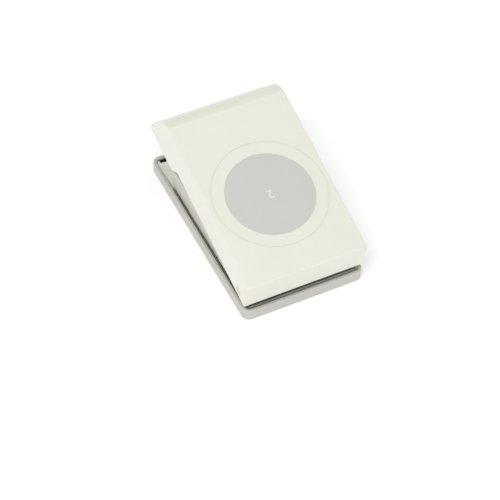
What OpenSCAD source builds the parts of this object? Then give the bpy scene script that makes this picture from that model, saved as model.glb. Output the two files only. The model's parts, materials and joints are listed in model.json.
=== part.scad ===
// Lever circle punch for paper craft, shown with its lever raised.
// A moulded lever turns on a pin at the near end of a folded steel frame. Pressed at its far end, it drives
// a round cutter through paper held in the open slot between the frame and a steel die plate.
// Millimetres, +Z up, +Y from the pivot to the pressed end. The origin lies on the surface that the
// punch stands on, below the middle of its outline.

/* [Punched circle] */
// Diameter of the circle that is punched
punch_d = 50.8; // [40:0.1:52]
// Radial clearance of the cutter in the die and in its guides
cut_clear = 0.05; // [0.02:0.01:0.1]

/* [Base tray] */
// Width of the base
base_w = 73; // [71:0.5:84]
// From the punch axis to the near edge of the base
axis_front = 50; // [47:0.5:60]
// From the punch axis to the rear edge of the base
axis_rear = 74.5; // [72:0.5:88]
// Height of the base's rim
base_h = 7.6; // [7.2:0.1:10]
// Thickness of the rim
rim_t = 2; // [1.6:0.1:3]
// Thickness of the rear wall
rear_wall_t = 2.3; // [1.8:0.1:3.2]
// Radius of the base's corners in plan
base_corner_r = 4.5; // [3:0.5:7]
// Chamfer round the base's lower edge
foot_chamfer = 0.8; // [0.4:0.1:1.4]
// How much wider than the die the outlet for punched circles is, on the radius
outlet_clear = 1.8; // [1:0.1:3]
// How much the outlet flares towards the table, on the radius
outlet_flare = 1.8; // [0.6:0.1:3]

/* [Die and paper slot] */
// Thickness of the die plate
die_t = 2.4; // [2:0.1:3]
// Height of the rim above the die plate
rim_lip = 0.2; // [0:0.1:0.6]
// Clearance of a plate beside the wall that frames it
plate_gap = 0.3; // [0.2:0.05:0.5]
// Height of the paper slot
slot_h = 1.4; // [1:0.1:3]
// From the punch axis to the paper stop
stop_y = 40.9; // [36:0.1:46]
// Depth of the paper stop
stop_l = 6.5; // [6:0.5:9]
// Thickness of the stripper plate over the slot
stripper_t = 2; // [1.5:0.1:2.6]

/* [Frame] */
// Clearance between the frame's side and the rim
frame_gap = 0.6; // [0.4:0.1:1.2]
// Thickness of the frame's sheet
sheet_t = 1.5; // [1.2:0.1:2]
// Height of the frame over the paper slot
frame_h = 13.2; // [11:0.1:15]
// Outer radius of the bends along the frame
bend_r = 2.4; // [2.1:0.1:3.2]
// Outer radius of the folds across the frame
fold_r = 3; // [2.6:0.1:3.6]
// Wall of the guide sleeve
sleeve_t = 3; // [2:0.1:3.6]

/* [Cutter and plunger] */
// Wall of the cutter
cutter_t = 2.8; // [2:0.1:4]
// Thickness of the cutter's closed top
cutter_roof = 4.6; // [4:0.1:6]
// Rise of the curved cutting edge
edge_rise = 2.3; // [1:0.1:3]
// How far the whole edge passes below the die's face
bite = 0.8; // [0.3:0.1:1.2]
// Thickness of the plunger plate
plunger_t = 2.2; // [2:0.1:3]
// Gap over the frame when the plunger is down
plunger_gap = 0.4; // [0.2:0.1:1]

/* [Return springs] */
// Outer diameter of a spring
spring_d = 7; // [6:0.1:8]
// Diameter of the spring wire
wire_d = 0.7; // [0.6:0.05:1]
// Turns in a spring
spring_turns = 7; // [4:1:8]
// From the punch axis to the springs, along the punch
spring_y = 19.5; // [17:0.5:22]
// Room round a spring
spring_room = 0.4; // [0.3:0.05:0.6]

/* [Lever] */
// Angle of the raised lever
rest_angle = 13.4; // [10:0.1:15]
// Wall of the lever
lever_t = 1.9; // [1.5:0.1:2.4]
// Thickness of the lever's top
lever_top_t = 2; // [1.6:0.1:2.6]
// Draft of the lever's walls, in degrees
draft = 3.3; // [1:0.1:4]
// Room between the frame and the lever's side walls
side_room = 1; // [0.9:0.1:2]
// Room between the plunger and the lever's top
roof_room = 0.6; // [0.3:0.1:1.5]
// From the lever's near edge to its pivot
pivot_in = 8.7; // [8:0.1:12]
// Height of the pivot over the lower edge of the lever's walls
pivot_up = 4.2; // [3.6:0.1:6]
// Diameter of the pivot pin
pin_d = 4.8; // [4:0.1:6]
// How much deeper the lever's skirt is at the rear
skirt_drop = 5.9; // [4:0.1:7]
// From the punch axis to the slope where the skirt deepens
skirt_y = 38.7; // [34:0.1:46]
// Gap between the skirt and the rim when the lever is down
skirt_gap = 0.5; // [0.3:0.1:1.5]
// How far the lever's tail reaches past the base's rear edge
tail_out = 1.8; // [0:0.1:2.4]
// Lean of the lever's rear wall, in degrees
tail_lean = 29; // [20:1:31]
// Radius of the roll above the lever's rear wall
tail_r = 18; // [16:0.5:22]
// Radius of the crease between the lever's top and the roll
crease_r = 4; // [3:0.1:5]
// Turn of the crease, in degrees
crease_turn = 20; // [16:1:30]
// Radius of the lever's upper edges and near corners
edge_r = 0.8; // [0.6:0.1:1.5]
// Radius of the tail's lower corners in plan
corner_r = 3.3; // [2:0.1:4]
// From the edge of the label to the ring groove
ring_gap = 7.3; // [4:0.1:8]
// Width of the ring groove
ring_w = 0.9; // [0.5:0.1:1.5]
// Depth of the ring groove
ring_depth = 0.25; // [0.1:0.05:0.5]
// Thickness of the label
label_t = 0.2; // [0.1:0.05:0.4]
// Thickness of the ribs under the lever
rib_t = 1.4; // [1:0.1:2]
// From the middle to the long ribs
rib_x = 17; // [15:0.5:22]
// Radius of the press bar's nose
press_r = 4; // [3:0.1:5]
// Length of the press bar
press_l = 30; // [20:1:32]

/* [Storage lock] */
// From the middle to each hook
hook_x = 24; // [23:0.1:25]
// Width of a hook
hook_w = 3.5; // [3:0.1:4.5]
// Thickness of the hook strip
hook_t = 1.1; // [0.8:0.1:1.4]
// Length of the hook's catch
catch_l = 3.4; // [3:0.1:4]
// Travel of the lock slide
lock_travel = 3.2; // [3:0.1:3.6]
// Thickness of the lock slide
slide_t = 1.4; // [1:0.1:1.6]
// Width of the lock's thumb tab
tab_w = 14; // [10:0.5:20]

/* [Fasteners] */
// Diameter of the tray screws
screw_d = 2.4; // [2:0.1:3]
// Diameter of the throat rivets
rivet_d = 3.4; // [3:0.1:4]
// Diameter of the cutter screws
cutter_screw_d = 3; // [2.5:0.1:3.5]
// Diameter of the hook screws
hook_screw_d = 2; // [1.6:0.1:2.4]

/* [Hidden] */
$fn = 96;
// Overlap of a cut past the face it opens
eps = 0.1;
// Clearance of a part that slides or turns near another
run = 0.3;
// Radial clearance of a pin that turns, and of one that is fixed
turn_clear = 0.06;
fix_clear = 0.02;

// Heights, from the table upwards, with the lever pressed
die_top = base_h - rim_lip;
seat_z = die_top - die_t;
slot_top = die_top + slot_h;
stripper_top = slot_top + stripper_t;
frame_top = slot_top + frame_h;
plunger_z = frame_top + plunger_gap;
plunger_top = plunger_z + plunger_t;
skirt_z = base_h + skirt_gap;
wall_z = skirt_z + skirt_drop;
pivot_z = wall_z + pivot_up;
press_z = plunger_top + run + press_r;

// Places along the punch, from the punch axis
front_y = -axis_front;
pivot_y = front_y + pivot_in;
tray_rear = axis_rear - rear_wall_t;
stop_rear = stop_y + stop_l;
frame_rear = stop_rear + plate_gap + sheet_t;
tail_y = axis_rear + tail_out;

// Widths, as half widths from the middle
tray_in = base_w / 2 - rim_t;
plate_w = tray_in - plate_gap;
frame_w = tray_in - frame_gap;
frame_in = frame_w - sheet_t;
lever_w = frame_w + side_room + lever_t;

// Stroke of the plunger, from the turn of the press bar about the pivot
press_arm = -pivot_y;
stroke = press_arm * sin(rest_angle) - (press_z - pivot_z) * (1 - cos(rest_angle));

// Springs stand on the stripper plate in the corners between the frame and the guide sleeve
spring_x = frame_in - spring_room - spring_d / 2;
spring_l = plunger_z + stroke - stripper_top - 2 * fix_clear;
post_d = spring_d - 2 * wire_d - 2 * spring_room;
post_l = 5;

// The plunger plate reaches over the springs, and the raised lever's top clears its near edge
plunger_y = spring_y + spring_d / 2 + spring_room;
plunger_w = spring_x + spring_d / 2;
near_rise = (pivot_y + plunger_y) * tan(rest_angle);
roof_up = cos(rest_angle) * (plunger_top + stroke + roof_room - pivot_z + near_rise);
roof_z = pivot_z + roof_up;
top_z = roof_z + lever_top_t;

// The cutter passes the die by its bite when the lever is down
cutter_z = die_top - bite - edge_rise;
cutter_h = plunger_z - cutter_z;
punch_r = punch_d / 2;
guide_r = punch_r + cut_clear;
edge_arc = (punch_r * punch_r + edge_rise * edge_rise) / (2 * edge_rise);
thread_l = cutter_roof - 1;

// The lever's near wall stops against the frame's ears when it is raised
near_in = pivot_in - lever_t;
ear_r = near_in * cos(rest_angle) - pivot_up * sin(rest_angle) - run;
frame_front = pivot_y - ear_r;
ear_room = 0.5;
box_front = pivot_y + ear_r + ear_room;

// The storage lock lies below the frame's rear flange
slide_z = seat_z - run - slide_t;
catch_t = 1.3;
hook_z = slide_z - run - catch_t;
pit_z = hook_z - run;
hook_room = 1.1;
hook_rear = tray_rear - hook_room;
hook_front = hook_rear - hook_t;
notch_y = hook_front - run;
slide_rear = tray_rear - 2 * run;
slide_spine = 2.6;
slide_front = notch_y - slide_spine;
keeper_w = 2.4;
gate_l = hook_w + catch_l + 2 * run;
slot_in = hook_x - hook_w / 2 - catch_l - 3 * run;
slot_edge = 1.6;
slot_out = frame_w - slot_edge;
tab_x = -lock_travel / 2;
tab_lap = 2;
tongue_w = tab_w - 2 * tab_lap;
tab_t = 1.8;
tab_rear = axis_rear + run + tab_t;
tab_z = slide_z - 1.6;
tab_top = base_h - 1;
grip_pitch = 2.4;
grip_w = 1;
grip_depth = 0.5;

// Hook brackets hang from bosses in the lever's tail
bracket_z = skirt_z + skirt_gap + 0.2;
bracket_l = 8;
bracket_front = hook_front - bracket_l;
bracket_hole_y = hook_front - bracket_l / 2 - 0.6;
boss_w = hook_w + 3;
hook_hole_l = bracket_l - 1;
hook_screw_l = hook_hole_l - 0.5;
hook_head_r = hook_screw_d / 2 + 0.8;
hook_head_h = 1;

// Ribs end clear of the plunger and the frame
rib_z = plunger_top + 2 * run;
near_rib_z = max(frame_top, pivot_z + ear_r) + 3 * run;
tail_rib_z = skirt_z + 9;
tail_rib_y = frame_rear + 8;
near_rib_end = -plunger_y - 3;
cross_rib_y = [plunger_y / 3, plunger_y + 6, frame_rear - 1.5];
holder_h = 2.4;
pin_boss = 2;

// Screws from below hold the die plate and the frame's rear flange
screw_head_r = screw_d / 2 + 1.4;
screw_head_z = 0.5;
screw_head_h = 1.5;
screw_top = seat_z + sheet_t - eps;
screw_in = screw_head_r + 1.4;
die_screw_x = plate_w - screw_in;
die_screw_y = [front_y + rim_t + plate_gap + screw_in, stop_y - screw_in];
flange_screw_x = frame_w - 9;
flange_screw_y = [frame_rear + fold_r + screw_d, slide_front - screw_in - 1];
rivet_y = stop_y + stop_l / 2;
rivet_head_r = rivet_d / 2 + 1.1;
rivet_head_h = 1;
rivet_pitch = frame_in / 2.4;
rivet_x = [for (k = [-1.5:1:1.5]) k * rivet_pitch];
cutter_screw_r = 0.6 * punch_r;

// The outline's near end is the raised lever's rounded upper edge, its rear end the lock's tab
near_top_y = front_y + (top_z - wall_z) * tan(draft) + edge_r;
near_up_y = (near_top_y - pivot_y) * cos(rest_angle) - (top_z - edge_r - pivot_z) * sin(rest_angle);
axis_y = -(tab_rear + pivot_y + near_up_y - edge_r) / 2;

// Places a piece that is drawn about the punch axis in the part's own frame
module on_axis() {
    translate([0, axis_y, 0])
        children();
}

// Lifts a piece of the plunger to its place under the raised lever
module lifted() {
    on_axis()
        translate([0, 0, stroke])
            children();
}

// Raises a piece of the lever, drawn pressed flat, about the pivot
module raised() {
    on_axis()
        translate([0, pivot_y, pivot_z])
            rotate([rest_angle, 0, 0])
                translate([0, -pivot_y, -pivot_z])
                    children();
}

// The cross recess in a screw's head, sunk upwards from the head's face
module cross_recess(head_r) {
    arm = 0.6 * head_r;
    slot = 0.15 * head_r;
    depth = 0.4 * head_r;
    for (a = [0, 90])
        rotate(a)
            block([-arm, -slot, -eps], [arm, slot, depth]);
}

// Repeats a shape on the left and on the right
module both_sides() {
    children();
    mirror([1, 0, 0])
        children();
}

// A plate outline with round corners, between two places along the punch
module round_rect(half_w, y0, y1, r) {
    translate([-half_w + r, y0])
        square([2 * half_w - 2 * r, y1 - y0]);
    translate([-half_w, y0 + r])
        square([2 * half_w, y1 - y0 - 2 * r]);
    for (x = [-half_w + r, half_w - r], y = [y0 + r, y1 - r])
        translate([x, y])
            circle(r);
}

// A slab cut from a plate outline
module slab(half_w, y0, y1, r, z0, z1) {
    translate([0, 0, z0])
        linear_extrude(z1 - z0)
            round_rect(half_w, y0, y1, r);
}

// A box between two corners
module block(low, high) {
    translate(low)
        cube(high - low);
}

// A round bar along X
module cross_bar(r, x0, x1, y, z) {
    translate([x0, y, z])
        rotate([0, 90, 0])
            cylinder(r = r, h = x1 - x0);
}

// A profile in the plane of Y and Z, drawn out along X
module side_profile(x0, x1) {
    translate([x0, 0, 0])
        rotate([90, 0, 90])
            linear_extrude(x1 - x0)
                children();
}

// Runs along the places of the die plate's and the frame's screws
module screw_places() {
    for (side = [-1, 1]) {
        for (y = die_screw_y)
            translate([side * die_screw_x, y, 0])
                children();
        for (y = flange_screw_y)
            translate([side * flange_screw_x, y, 0])
                children();
    }
}

module rivet_places() {
    for (x = rivet_x)
        translate([x, rivet_y, 0])
            children();
}

module cutter_screw_places() {
    for (a = [45:90:315])
        rotate(a)
            translate([cutter_screw_r, 0, 0])
                children();
}

module spring_places() {
    for (x = [-1, 1], y = [-1, 1])
        translate([x * spring_x, y * spring_y, 0])
            children();
}

// Base: the moulded tray with its chamfered foot, the seat for the plates and the outlet
module tray_body() {
    r = base_corner_r;
    c = foot_chamfer;
    w = base_w / 2;
    slab(w, front_y, axis_rear, r, c, base_h);
    for (x = [-w + r, w - r], y = [front_y + r, axis_rear - r])
        translate([x, y, 0])
            cylinder(r1 = r - c, r2 = r, h = c);
    side_profile(-w + r, w - r)
        polygon([[front_y + c, 0], [axis_rear - c, 0], [axis_rear, c], [front_y, c]]);
    translate([0, axis_rear - r, 0])
        rotate([90, 0, 0])
            linear_extrude(axis_rear - front_y - 2 * r)
                polygon([[-w + c, 0], [w - c, 0], [w, c], [-w, c]]);
}

module base_tray() {
    color("#b4b1a8")
        on_axis()
            difference() {
                tray_body();
                slab(tray_in, front_y + rim_t, tray_rear, base_corner_r - rim_t, seat_z, base_h + eps);
                translate([0, 0, -eps])
                    cylinder(r1 = guide_r + outlet_clear + outlet_flare, r2 = guide_r + outlet_clear,
                        h = seat_z + 2 * eps);
                screw_places() {
                    translate([0, 0, -eps])
                        cylinder(r = screw_head_r + run, h = screw_head_z + screw_head_h + eps);
                    cylinder(r = screw_d / 2 + fix_clear, h = seat_z + eps);
                }
                rivet_places()
                    translate([0, 0, seat_z - rivet_head_h - run])
                        cylinder(r = rivet_head_r + run, h = rivet_head_h + run + eps);
                block([-tray_in + run, slide_front - run, slide_z - run / 2],
                    [tray_in - run, tray_rear, seat_z + eps]);
                both_sides()
                    block([slot_in, notch_y, pit_z], [slot_out, tray_rear, seat_z]);
                block([tab_x - tongue_w / 2 - run, tray_rear - eps, slide_z - run],
                    [tab_x + tongue_w / 2 + lock_travel + run, axis_rear + eps, slide_z + slide_t + run]);
            }
}

module die_plate() {
    color("#cfcdc1")
        on_axis()
            difference() {
                slab(plate_w, front_y + rim_t + plate_gap, stop_rear, plate_r, seat_z, die_top);
                translate([0, 0, seat_z - eps])
                    cylinder(r = guide_r, h = die_t + 2 * eps);
                screw_places()
                    translate([0, 0, seat_z - eps])
                        cylinder(r = screw_d / 2 + fix_clear, h = screw_top - seat_z + 2 * eps);
                rivet_places()
                    translate([0, 0, seat_z - eps])
                        cylinder(r = rivet_d / 2 + fix_clear, h = die_t + 2 * eps);
            }
}

module throat_stop() {
    color("#8d8d88")
        on_axis()
            difference() {
                block([-frame_in + run, stop_y, die_top], [frame_in - run, stop_rear, slot_top]);
                rivet_places()
                    translate([0, 0, die_top - eps])
                        cylinder(r = rivet_d / 2 + fix_clear, h = slot_h + 2 * eps);
            }
}

// Tabs on the stripper plate's long edges lock into notches in the frame's side walls
plate_tab_y = [-22, 22];
plate_tab_half = 5;
plate_r = 2;
flange_r = max(base_corner_r - rim_t - plate_gap, plate_r / 2);
lead_in = 1;

module stripper_plate() {
    color("#c7c5b9")
        on_axis()
            difference() {
                union() {
                    slab(frame_in - fix_clear, frame_front, stop_rear, plate_r / 2, slot_top, stripper_top);
                    for (y = plate_tab_y)
                        block([-frame_w, y - plate_tab_half, slot_top],
                            [frame_w, y + plate_tab_half, stripper_top]);
                }
                translate([0, 0, slot_top - eps])
                    cylinder(r = guide_r, h = stripper_t + 2 * eps);
                rivet_places()
                    translate([0, 0, slot_top - eps])
                        cylinder(r = rivet_d / 2 + fix_clear, h = stripper_t + 2 * eps);
                // Lead-in for the paper along the near edge
                side_profile(-frame_in - eps, frame_in + eps)
                    polygon([[frame_front - eps, slot_top - eps], [frame_front + lead_in, slot_top - eps],
                        [frame_front - eps, slot_top + lead_in]]);
            }
}

// Frame: a folded channel with pivot ears, a rear wall and a flange that is screwed to the tray
module frame_section(half_w, top, r) {
    translate([-half_w, slot_top])
        square([2 * half_w, top - r - slot_top]);
    translate([-half_w + r, slot_top])
        square([2 * half_w - 2 * r, top - slot_top]);
    for (x = [-half_w + r, half_w - r])
        translate([x, top - r])
            circle(r);
}

module along_frame(y0, y1) {
    translate([0, y1, 0])
        rotate([90, 0, 0])
            linear_extrude(y1 - y0)
                children();
}

module frame_ear() {
    side_profile(frame_in, frame_w) {
        translate([frame_front, slot_top])
            square([box_front - frame_front + bend_r, pivot_z - slot_top]);
        translate([pivot_y, pivot_z])
            circle(ear_r);
        translate([pivot_y, slot_top])
            square([box_front + bend_r - pivot_y, frame_top - bend_r - slot_top]);
    }
}

// What a fold's outer radius takes off the box, at its near or its rear end
module fold_waste(y, end) {
    centre = 0.98 * fold_r;
    difference() {
        translate([y - centre / 2 + end * (eps - centre) / 2, frame_top - centre])
            square([centre + eps, centre + eps]);
        translate([y - end * centre, frame_top - centre])
            circle(fold_r);
    }
}

// The hollow side of the fold where the rear wall turns into the flange
module flange_fold() {
    r = fold_r - sheet_t;
    centre = 0.98 * r;
    difference() {
        translate([frame_rear - eps, seat_z + sheet_t - eps])
            square(centre + eps);
        translate([frame_rear + centre, seat_z + sheet_t + centre])
            circle(r);
    }
}

module upper_frame() {
    color("#c7c5b9")
        on_axis()
            difference() {
                union() {
                    along_frame(box_front, frame_rear)
                        frame_section(frame_w, frame_top, bend_r);
                    both_sides()
                        frame_ear();
                    slab(plate_w, frame_rear - sheet_t, tray_rear - plate_gap, flange_r, seat_z,
                        seat_z + sheet_t);
                    block([-frame_w, frame_rear - sheet_t, seat_z], [frame_w, frame_rear, stripper_top]);
                    side_profile(-frame_w, frame_w)
                        flange_fold();
                }
                side_profile(-frame_w - eps, frame_w + eps) {
                    fold_waste(box_front, -1);
                    fold_waste(frame_rear, 1);
                }
                along_frame(box_front + sheet_t, frame_rear - sheet_t)
                    translate([0, -eps])
                        frame_section(frame_in, frame_top - sheet_t + eps, bend_r - sheet_t);
                block([-frame_in, box_front - eps, slot_top - eps],
                    [frame_in, frame_rear - sheet_t, stripper_top]);
                translate([0, 0, frame_top - sheet_t - eps])
                    cylinder(r = guide_r, h = sheet_t + 2 * eps);
                spring_places()
                    translate([0, 0, frame_top - sheet_t - eps])
                        cylinder(r = spring_d / 2 + spring_room, h = sheet_t + 2 * eps);
                cross_bar(pin_d / 2 + turn_clear, -frame_w - eps, frame_w + eps, pivot_y, pivot_z);
                for (y = plate_tab_y)
                    block([-frame_w - eps, y - plate_tab_half - fix_clear, slot_top - eps],
                        [frame_w + eps, y + plate_tab_half + fix_clear, stripper_top]);
                screw_places()
                    translate([0, 0, seat_z - eps])
                        cylinder(r = screw_d / 2 + fix_clear, h = sheet_t + 2 * eps);
                both_sides()
                    block([slot_in, notch_y, seat_z - eps], [slot_out, tray_rear, seat_z + sheet_t + eps]);
            }
}

module guide_sleeve() {
    color("#e9e7df")
        on_axis()
            translate([0, 0, stripper_top])
                difference() {
                    cylinder(r = guide_r + sleeve_t, h = frame_top - sheet_t - stripper_top);
                    translate([0, 0, -eps])
                        cylinder(r = guide_r, h = frame_h + eps);
                }
}

module throat_rivets() {
    color("#a9a9a6")
        on_axis()
            rivet_places() {
                translate([0, 0, seat_z - rivet_head_h])
                    cylinder(r = rivet_head_r, h = rivet_head_h);
                translate([0, 0, seat_z - eps])
                    cylinder(d = rivet_d, h = stripper_top - seat_z + 2 * eps);
                translate([0, 0, stripper_top])
                    cylinder(r = rivet_head_r, h = rivet_head_h);
            }
}

module tray_screws() {
    color("#a9a9a6")
        on_axis()
            screw_places()
                translate([0, 0, screw_head_z])
                    difference() {
                        union() {
                            cylinder(r = screw_head_r, h = screw_head_h);
                            cylinder(d = screw_d, h = screw_top - screw_head_z);
                        }
                        cross_recess(screw_head_r);
                    }
}

// Return spring: one wire that leaves each seat upright and turns into its coil
elbow_r = 1.1 * wire_d;
coil_r = spring_d / 2 - wire_d / 2;
wire_sides = 6;
turn_rings = 8;
elbow_steps = [0:30:90];
elbow_turn = elbow_r / coil_r * 180 / PI;
coil_turn = 360 * spring_turns;
coil_rise = spring_l - 2 * (wire_d + elbow_r);
coil_rings = spring_turns * turn_rings;

// Turn and height of the wire's middle, from the lower seat to the upper one
foot_path = [for (a = elbow_steps) [elbow_turn * (1 - cos(a)), wire_d + elbow_r * sin(a)]];
coil_path = [for (i = [1:coil_rings - 1])
    [elbow_turn + coil_turn * i / coil_rings, wire_d + elbow_r + coil_rise * i / coil_rings]];
full_turn = coil_turn + 2 * elbow_turn;
head_path = [for (i = [len(foot_path) - 1:-1:0])
    [full_turn - foot_path[i][0], spring_l - foot_path[i][1]]];
wire_path = concat([[0, 0]], foot_path, coil_path, head_path, [[full_turn, spring_l]]);

function wire_point(p) = [coil_r * cos(p[0]), coil_r * sin(p[0]), p[1]];
function unit(v) = v / norm(v);
wire_points = [for (p = wire_path) wire_point(p)];
wire_last = len(wire_points) - 1;

function wire_ring(i) = let (
    ahead = wire_points[min(i + 1, wire_last)],
    behind = wire_points[max(i - 1, 0)],
    across = [cos(wire_path[i][0]), sin(wire_path[i][0]), 0],
    along = i == 0 || i == wire_last ? [0, 0, 1] : unit(ahead - behind),
    over = unit(cross(along, across))
) [for (k = [0:wire_sides - 1]) let (a = 360 * k / wire_sides)
    wire_points[i] + wire_d / 2 * (cos(a) * across + sin(a) * over)];

wire_skin = [for (i = [0:wire_last]) each wire_ring(i)];
wire_faces = concat(
    [[for (k = [0:wire_sides - 1]) k]],
    [for (i = [0:wire_last - 1], k = [0:wire_sides - 1]) let (n = (k + 1) % wire_sides)
        each [[i * wire_sides + k, (i + 1) * wire_sides + k, (i + 1) * wire_sides + n],
            [i * wire_sides + k, (i + 1) * wire_sides + n, i * wire_sides + n]]],
    [[for (k = [wire_sides - 1:-1:0]) wire_last * wire_sides + k]]);

// Least gap between two turns of the wire, over points at least half a turn apart
turn_gaps = [for (i = [0:wire_last], j = [i + turn_rings / 2 + 1:1:wire_last])
    norm(wire_points[i] - wire_points[j]) - wire_d];
echo(least_spring_gap = min(turn_gaps));

module return_spring(x, y) {
    color("#b9bbbd")
        on_axis()
            translate([x * spring_x, y * spring_y, stripper_top + fix_clear])
                polyhedron(wire_skin, wire_faces);
}

module spring_near_left() {
    return_spring(-1, -1);
}

module spring_near_right() {
    return_spring(1, -1);
}

module spring_rear_left() {
    return_spring(-1, 1);
}

module spring_rear_right() {
    return_spring(1, 1);
}

// Cutter: a closed cup whose edge rises in a curve, so that it shears the paper from two sides
module cutter() {
    color("#d6d7d6")
        lifted()
            difference() {
                translate([0, 0, cutter_z - eps])
                    cylinder(r = punch_r, h = cutter_h + eps);
                translate([0, 0, cutter_z - 2 * eps])
                    cylinder(r = punch_r - cutter_t, h = cutter_h - cutter_roof + 2 * eps);
                translate([0, punch_d, cutter_z + edge_rise - edge_arc])
                    rotate([90, 0, 0])
                        cylinder(r = edge_arc, h = 2 * punch_d, $fn = 720);
                cutter_screw_places()
                    translate([0, 0, plunger_z - thread_l])
                        cylinder(d = cutter_screw_d + 2 * fix_clear, h = thread_l + eps);
            }
}

module plunger_plate() {
    color("#9fa1a0")
        lifted()
            difference() {
                slab(plunger_w, -plunger_y, plunger_y, spring_d / 2 + spring_room, plunger_z, plunger_top);
                cutter_screw_places() {
                    translate([0, 0, plunger_z - eps])
                        cylinder(d = cutter_screw_d + 2 * fix_clear, h = plunger_t + 2 * eps);
                    translate([0, 0, plunger_top - cutter_screw_d / 2])
                        cylinder(d1 = cutter_screw_d + 2 * fix_clear,
                            d2 = 2 * cutter_screw_d + 2 * fix_clear, h = cutter_screw_d / 2);
                }
                spring_places()
                    translate([0, 0, plunger_z - eps])
                        cylinder(d = post_d / 2 + 2 * fix_clear, h = plunger_t + 2 * eps);
            }
}

module spring_posts() {
    color("#b9bbbd")
        lifted()
            spring_places() {
                translate([0, 0, plunger_z - post_l])
                    cylinder(d = post_d, h = post_l);
                translate([0, 0, plunger_z - eps])
                    cylinder(d = post_d / 2, h = plunger_t + eps);
            }
}

module cutter_screws() {
    color("#8d8d88")
        lifted()
            cutter_screw_places()
                difference() {
                    union() {
                        translate([0, 0, plunger_z - thread_l + run])
                            cylinder(d = cutter_screw_d, h = thread_l - run + plunger_t - cutter_screw_d / 4);
                        translate([0, 0, plunger_top - cutter_screw_d / 2])
                            cylinder(d1 = cutter_screw_d, d2 = 2 * cutter_screw_d, h = cutter_screw_d / 2);
                    }
                    translate([0, 0, plunger_top])
                        mirror([0, 0, 1])
                            cross_recess(0.8 * cutter_screw_d);
                }
}

// Lever: half width, near face and rear face at a height, drawn in by the draft and the rear wall's lean
function half_at(z) = lever_w - (z - wall_z) * tan(draft);
function near_at(z) = front_y + (z - wall_z) * tan(draft);
function tail_at(z) = tail_y - (z - skirt_z) * tan(tail_lean);

// The tail's roll touches the leaning rear wall, and its crease touches the roll and the top
roll_drop = (tail_r - crease_r) * cos(crease_turn);
roll_y = tail_at(top_z - crease_r - roll_drop) - tail_r / cos(tail_lean);
crease_y = roll_y + (tail_r - crease_r) * sin(crease_turn);

// Solid form of the lever, drawn in by a wall and by the thickness of the top
module lever_form(wall, top_wall, low_z) {
    upper = top_z - top_wall;
    r = max(edge_r - wall, run);
    tail_plan_r = max(corner_r - wall, run);
    crease = max(crease_r - max(wall, top_wall), r);
    roll = tail_r - crease_r + crease;
    bends = [[crease_y, upper - crease, crease, 0, crease_turn],
        [roll_y, upper - crease - roll_drop, roll, crease_turn, 90 - tail_lean]];
    hull() {
        for (side = [-1, 1]) {
            translate([side * (half_at(upper) - wall - r), near_at(upper) + wall + r, upper - r])
                sphere(r, $fn = 24);
            for (bend = bends)
                translate([side * (half_at(upper) - wall - r), bend[0], bend[1]])
                    rotate([0, -90, 0])
                        rotate([0, 0, bend[3]])
                            rotate_extrude(angle = bend[4] - bend[3], $fn = 96)
                                translate([bend[2] - r, 0])
                                    circle(r, $fn = 24);
            translate([side * (half_at(low_z) - wall - r), near_at(low_z) + wall + r, low_z])
                cylinder(r = r, h = eps / 2, $fn = 24);
            translate([side * (half_at(low_z) - wall - tail_plan_r),
                tail_at(low_z) - wall / cos(tail_lean) - tail_plan_r, low_z])
                cylinder(r = tail_plan_r, h = eps / 2, $fn = 32);
        }
    }
}

module lever_ribs() {
    both_sides()
        side_profile(rib_x - rib_t / 2, rib_x + rib_t / 2) {
            polygon([[cross_rib_y[0], top_z], [cross_rib_y[0], rib_z], [frame_rear + run, rib_z],
                [tail_rib_y, tail_rib_z], [tail_y, tail_rib_z], [tail_y, top_z]]);
            polygon([[front_y, top_z], [front_y, near_rib_z], [near_rib_end - rib_t, near_rib_z],
                [near_rib_end, roof_z], [near_rib_end, top_z]]);
        }
    for (y = cross_rib_y)
        block([-lever_w, y - rib_t / 2, rib_z], [lever_w, y + rib_t / 2, top_z]);
    // Holders on both sides of the press bar
    holder_y = press_r + fix_clear + rib_t / 2;
    for (side = [-1, 1])
        block([-press_l / 2, side * holder_y - rib_t / 2, roof_z - holder_h],
            [press_l / 2, side * holder_y + rib_t / 2, top_z]);
    // Bosses that carry the lock's hooks
    for (side = [-1, 1])
        block([side * hook_x - boss_w / 2, bracket_front, bracket_z + hook_t + fix_clear],
            [side * hook_x + boss_w / 2, tail_y, top_z]);
}

module lever_cover() {
    color("#ecebe0")
        raised()
            difference() {
                union() {
                    difference() {
                        lever_form(0, 0, skirt_z);
                        lever_form(lever_t, lever_top_t, skirt_z - 1);
                        side_profile(-lever_w - lever_t, lever_w + lever_t)
                            polygon([[front_y - lever_t, wall_z], [skirt_y, wall_z],
                                [skirt_y + skirt_drop + 1, skirt_z - 1], [front_y - lever_t, skirt_z - 1]]);
                    }
                    intersection() {
                        lever_form(lever_t / 2, lever_top_t / 2, skirt_z);
                        union() {
                            lever_ribs();
                            both_sides()
                                cross_bar(pin_d / 2 + pin_boss, frame_w + run, lever_w, pivot_y, pivot_z);
                        }
                    }
                }
                cross_bar(pin_d / 2 + fix_clear, -lever_w - eps, lever_w + eps, pivot_y, pivot_z);
                translate([0, 0, top_z - label_t])
                    cylinder(r = punch_r, h = label_t + eps);
                translate([0, 0, top_z])
                    rotate_extrude()
                        translate([punch_r + ring_gap, 0])
                            polygon([[-ring_w / 2, eps], [-ring_w / 2, 0], [-ring_w / 6, -ring_depth],
                                [ring_w / 6, -ring_depth], [ring_w / 2, 0], [ring_w / 2, eps]]);
                for (side = [-1, 1])
                    translate([side * hook_x, bracket_hole_y, bracket_z])
                        cylinder(d = hook_screw_d + 2 * fix_clear, h = hook_hole_l);
            }
}

module size_label() {
    color("#d0ceca")
        raised()
            translate([0, 0, top_z - label_t])
                cylinder(r = punch_r - fix_clear, h = label_t);
}

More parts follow.
